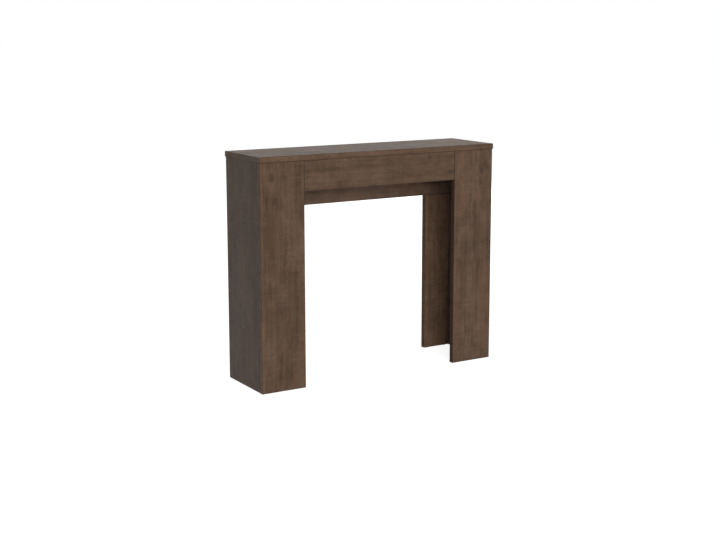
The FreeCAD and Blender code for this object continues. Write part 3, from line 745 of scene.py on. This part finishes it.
upper = add(head_tree, "GeometryNodeSetPosition", None,
            {"Geometry": grid, "Position": vector_calc(head_tree, "ADD", disc, lift)}).outputs[0]
under = add(head_tree, "GeometryNodeSetPosition", None, {"Geometry": grid, "Position": disc}).outputs[0]
under = add(head_tree, "GeometryNodeFlipFaces", None, {"Mesh": under}).outputs[0]
joined = head_tree.nodes.new("GeometryNodeJoinGeometry")
for half in (upper, under):
    head_tree.links.new(half, joined.inputs[0])
head = add(head_tree, "GeometryNodeMergeByDistance", None,
           {"Geometry": joined.outputs[0], "Distance": WELD_DISTANCE}).outputs[0]
print("nodes so far:", len(head_tree.nodes))

# %% [markdown]
# ## Setting the heads
# Nobody lines up the slots of hidden screws, so each head is turned by chance. Turning them by hand would
# take a number for each; a fixed seed gives the same chance every time. The way that a head faces is
# kept on its point, as an attribute with a name. The finished heads are baked into one plain mesh,
# because a plain mesh can ride on the body that carries it and needs no modifier later.

# %% Geometry Nodes tree: heads on points
facing = add(head_tree, "GeometryNodeInputNamedAttribute", {"data_type": "FLOAT_VECTOR"},
             {"Name": "facing"}).outputs["Attribute"]
stand = add(head_tree, "FunctionNodeAlignRotationToVector", {"axis": "Z"}, {"Vector": facing}).outputs[0]
# For plain numbers, sockets 2 and 3 are the ends of the range and output 1 is the value
chance = add(head_tree, "FunctionNodeRandomValue", {"data_type": "FLOAT"},
             {2: 0.0, 3: QUARTER, "Seed": given["Spin Seed"]}).outputs[1]
spin = add(head_tree, "FunctionNodeAxisAngleToRotation", None,
           {"Axis": (0, 0, 1), "Angle": chance}).outputs[0]
turn = add(head_tree, "FunctionNodeRotateRotation", {"rotation_space": "LOCAL"},
           {"Rotation": stand, "Rotate By": spin}).outputs[0]
points = add(head_tree, "GeometryNodeInstanceOnPoints", None,
             {"Points": given["Places"], "Instance": head, "Rotation": turn}).outputs[0]
solid = add(head_tree, "GeometryNodeRealizeInstances", None, {"Geometry": points}).outputs[0]
dressed = add(head_tree, "GeometryNodeSetMaterial", None, {"Geometry": solid, "Material": given["Finish"]})
head_tree.links.new(dressed.outputs[0], result["Heads"])
print("tree:", head_tree.name, "nodes:", len(head_tree.nodes))

# %% Bake a set of heads into one piece
def set_heads(name, body, slot, places, values):
    """Put heads on points, each given with the direction it faces, and make them one plain mesh."""
    mesh = bpy.data.meshes.new(name + "_places")
    mesh.from_pydata([point for point, way in places], [], [])
    ways = mesh.attributes.new("facing", "FLOAT_VECTOR", "POINT")
    for item, (point, way) in zip(ways.data, places):
        item.vector = way
    holder = bpy.data.objects.new(name + "_places", mesh)
    SCENE.collection.objects.link(holder)
    modifier = holder.modifiers.new("heads", "NODES")
    modifier.node_group = head_tree
    for item in head_tree.interface.items_tree:
        if item.name in values:
            modifier[item.identifier] = values[item.name]
    ready = holder.evaluated_get(bpy.context.evaluated_depsgraph_get())
    piece = bpy.data.objects.new(name, bpy.data.meshes.new_from_object(ready))
    holder.modifiers.clear()
    bpy.data.objects.remove(holder)
    bpy.data.meshes.remove(mesh)
    SCENE.collection.objects.link(piece)
    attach(piece, body)
    print(name, "heads:", len(places), "faces:", len(piece.data.polygons))


print("heads are set with:", set_heads.__name__)

# %% [markdown]
# ## Screws of the fixed console
# Three screws hold each wall rail, four each joining plate and two each bracket under the top. The places
# could be typed in, but they are measured from the boxes of the pieces that the screws hold, so they stay
# on those pieces when a size changes.

# %% Set the console screws
SCREW = {"Head Radius": 0.004, "Head Height": 0.0024, "Recess Depth": 0.0016, "Spin Seed": 7,
         "Finish": SCREW_METAL}
RUNNER_WEB = 0.0024
FLANGE_HALF = 0.008
RAIL_SCREW_STEP = 0.07
PLATE_SCREW_ACROSS = 0.021
PLATE_SCREW_UP = 0.013
BRACKET_STEEL = 0.0025
BRACKET_INSET = 0.011

console_places = []
for side, way in (("left", 1), ("right", -1)):
    low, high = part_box(side + "_wall_rail")
    centre = (low + high) / 2
    web_face = low.x + RUNNER_WEB if way > 0 else high.x - RUNNER_WEB
    for along in (-RAIL_SCREW_STEP, 0.0, RAIL_SCREW_STEP):
        console_places.append(((web_face, centre.y + along, low.z + FLANGE_HALF), (way, 0, 0)))
    low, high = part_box(side + "_joining_plate")
    centre = (low + high) / 2
    for across in (-PLATE_SCREW_ACROSS, PLATE_SCREW_ACROSS):
        for up in (-PLATE_SCREW_UP, PLATE_SCREW_UP):
            console_places.append(((centre.x + across, high.y, centre.z + up), (0, 1, 0)))
for side in ("left", "middle", "right"):
    low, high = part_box(side + "_top_bracket")
    centre = (low + high) / 2
    console_places.append(((centre.x, low.y + BRACKET_STEEL, low.z + BRACKET_INSET), (0, 1, 0)))
    console_places.append(((centre.x, high.y - BRACKET_INSET, high.z - BRACKET_STEEL), (0, 0, -1)))
set_heads("console_screws", "console", "screw_steel", console_places, SCREW)

# %% [markdown]
# ## Screws and caps of the rear frame
# Each frame bracket has two screws in its web and two in its flange. Four long screws go through each rear
# stile into the rail, and flat brown caps hide them. A cap is the same dome without a recess, so the same
# tree makes it with other values.

# %% Set the screws and caps of the rear frame
CAP = {"Head Radius": 0.006, "Head Height": 0.0012, "Recess Depth": 0.0, "Spin Seed": 3,
       "Finish": CAP_PLASTIC}
WEB_SCREWS_ALONG = (0.014, 0.040)
WEB_SCREW_DROP = 0.017
FLANGE_SCREWS_UP = (0.011, 0.033)
FLANGE_INSET = 0.012
CAP_INSET = 0.026
CAPS_UP = (0.026, 0.105)

frame_places = []
cap_places = []
rail_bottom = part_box("rear_rail")[0].z
for side, way in (("left", 1), ("right", -1)):
    low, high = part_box(side + "_frame_bracket")
    web_face = low.x + BRACKET_STEEL if way > 0 else high.x - BRACKET_STEEL
    for along in WEB_SCREWS_ALONG:
        frame_places.append(((web_face, low.y + along, high.z - WEB_SCREW_DROP), (way, 0, 0)))
    inner_end = high.x if way > 0 else low.x
    across = inner_end - way * FLANGE_INSET
    for up in FLANGE_SCREWS_UP:
        frame_places.append(((across, high.y - BRACKET_STEEL, low.z + up), (0, -1, 0)))
    low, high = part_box(side + "_rear_stile")
    for across in (low.x + CAP_INSET, high.x - CAP_INSET):
        for up in CAPS_UP:
            cap_places.append(((across, high.y, rail_bottom + up), (0, 1, 0)))
set_heads("rear_frame_screws", "rear_frame", "screw_steel", frame_places, dict(SCREW, **{"Spin Seed": 11}))
set_heads("rear_frame_caps", "rear_frame", "cap_plastic", cap_places, CAP)

# %% [markdown]
# ## Walls
# Shop photographs of furniture are taken among bright walls. Here the walls are the world: white to the
# camera and in reflections, and a calmer grey for the light that they give, darker on the left as if a
# screen stood there. An image of a studio could do the same, but a plain world is easier to tune.

# %% Set the world
AMBIENT = 0.29
LEFT_SHADE = 0.75
LEFT_SHADE_EDGE = (0.1, 0.8)
WHITE = (1.0, 1.0, 1.0, 1)


def shown_mask(tree):
    """1 for rays from the camera, from mirrors and through glass, and 0 for rays that carry light."""
    ray = tree.nodes.new("ShaderNodeLightPath").outputs
    mask = calc(tree, "MAXIMUM", ray["Is Camera Ray"], ray["Is Glossy Ray"])
    return calc(tree, "MAXIMUM", mask, ray["Is Transmission Ray"])


world = bpy.data.worlds.new("studio_walls")
SCENE.world = world
world.use_nodes = True
tree = world.node_tree
direction = tree.nodes.new("ShaderNodeTexCoord").outputs["Generated"]
leftward = vector_calc(tree, "DOT_PRODUCT", direction, (-1.0, 0.0, 0.0))
shade = fade(tree, leftward, *LEFT_SHADE_EDGE)
wall = calc(tree, "MULTIPLY_ADD", shade, -LEFT_SHADE * AMBIENT, AMBIENT)
strength = mix(tree, "FLOAT", shown_mask(tree), wall, 1.0)
tree.links.new(strength, tree.nodes["Background"].inputs["Strength"])
tree.nodes["Background"].inputs["Color"].default_value = WHITE
print("walls give", AMBIENT, "of white, and", round(AMBIENT * (1 - LEFT_SHADE), 4), "on the left")

# %% [markdown]
# ## Lamps
# One broad soft lamp stands nearly in front, somewhat above the table, so the front is lighter than the
# left side and the apron throws a soft shadow on the rail behind it. A second lamp keeps the back and the
# right side from sinking into the dark. Small lamps would be simpler, but their shadows have hard edges.
# Both lamps are left out of reflections, because the walls alone give the even sheen on the top.

# %% Set the lamps
def soft_lamp(name, place, width, height, power):
    """A rectangular area lamp that looks at the middle of the table."""
    data = bpy.data.lights.new(name, "AREA")
    data.shape = "RECTANGLE"
    data.size = width
    data.size_y = height
    data.energy = power
    lamp = bpy.data.objects.new(name, data)
    lamp.location = place
    lamp.visible_camera = False
    lamp.visible_glossy = False
    lamp.rotation_euler = (Vector(TABLE_MIDDLE) - Vector(place)).to_track_quat("-Z", "Y").to_euler()
    SCENE.collection.objects.link(lamp)


soft_lamp("key_lamp", place=(-1.55, -4.62, 1.80), width=3.0, height=1.6, power=166.0)
soft_lamp("back_lamp", place=(3.9, 2.6, 1.9), width=3.0, height=3.0, power=130.0)
print("lamps:", [lamp.name for lamp in bpy.data.lights])

# %% [markdown]
# ## Floor
# The floor of the photograph is as white as its walls. A white floor alone would either stay grey or throw
# too much light up. So it has two finishes: what the camera sees is lifted to white with some glow and
# keeps a soft shadow, and what lights the table is plain white paint, with a darker cloth at the left.

# %% Lay the floor
FLOOR_HALF = 30.0
FLOOR_DROP = 0.0003
FLOOR_PAINT = (0.92, 0.92, 0.92, 1)
FLOOR_CLOTH = (0.40, 0.40, 0.40, 1)
CLOTH_EDGE = (-0.40, -0.60)
FLOOR_SHOWN = (0.50, 0.50, 0.50, 1)
FLOOR_GLOW = 0.882

floor_mesh = bpy.data.meshes.new("studio_floor")
floor_mesh.from_pydata([(-FLOOR_HALF, -FLOOR_HALF, 0), (FLOOR_HALF, -FLOOR_HALF, 0),
                        (FLOOR_HALF, FLOOR_HALF, 0), (-FLOOR_HALF, FLOOR_HALF, 0)], [], [(0, 1, 2, 3)])
floor = bpy.data.objects.new("studio_floor", floor_mesh)
floor.location.z = -FLOOR_DROP
SCENE.collection.objects.link(floor)
floor_paint = bpy.data.materials.new("floor_paint")
floor_paint.use_nodes = True
tree = floor_paint.node_tree
tree.nodes.remove(tree.nodes["Principled BSDF"])
floor_place = tree.nodes.new("ShaderNodeTexCoord").outputs["Object"]
floor_x = add(tree, "ShaderNodeSeparateXYZ", None, {0: floor_place}).outputs["X"]
cloth = mix(tree, "RGBA", fade(tree, floor_x, *CLOTH_EDGE), FLOOR_PAINT, FLOOR_CLOTH)
paint = add(tree, "ShaderNodeBsdfDiffuse", None, {"Color": cloth}).outputs[0]
pale = add(tree, "ShaderNodeBsdfDiffuse", None, {"Color": FLOOR_SHOWN}).outputs[0]
glow = add(tree, "ShaderNodeEmission", None, {"Color": WHITE, "Strength": FLOOR_GLOW}).outputs[0]
lifted = add(tree, "ShaderNodeAddShader", None, {0: pale, 1: glow}).outputs[0]
mixed = add(tree, "ShaderNodeMixShader", None, {0: shown_mask(tree), 1: paint, 2: lifted}).outputs[0]
tree.links.new(mixed, tree.nodes["Material Output"].inputs["Surface"])
floor_mesh.materials.append(floor_paint)
print("floor:", 2 * FLOOR_HALF, "m square")
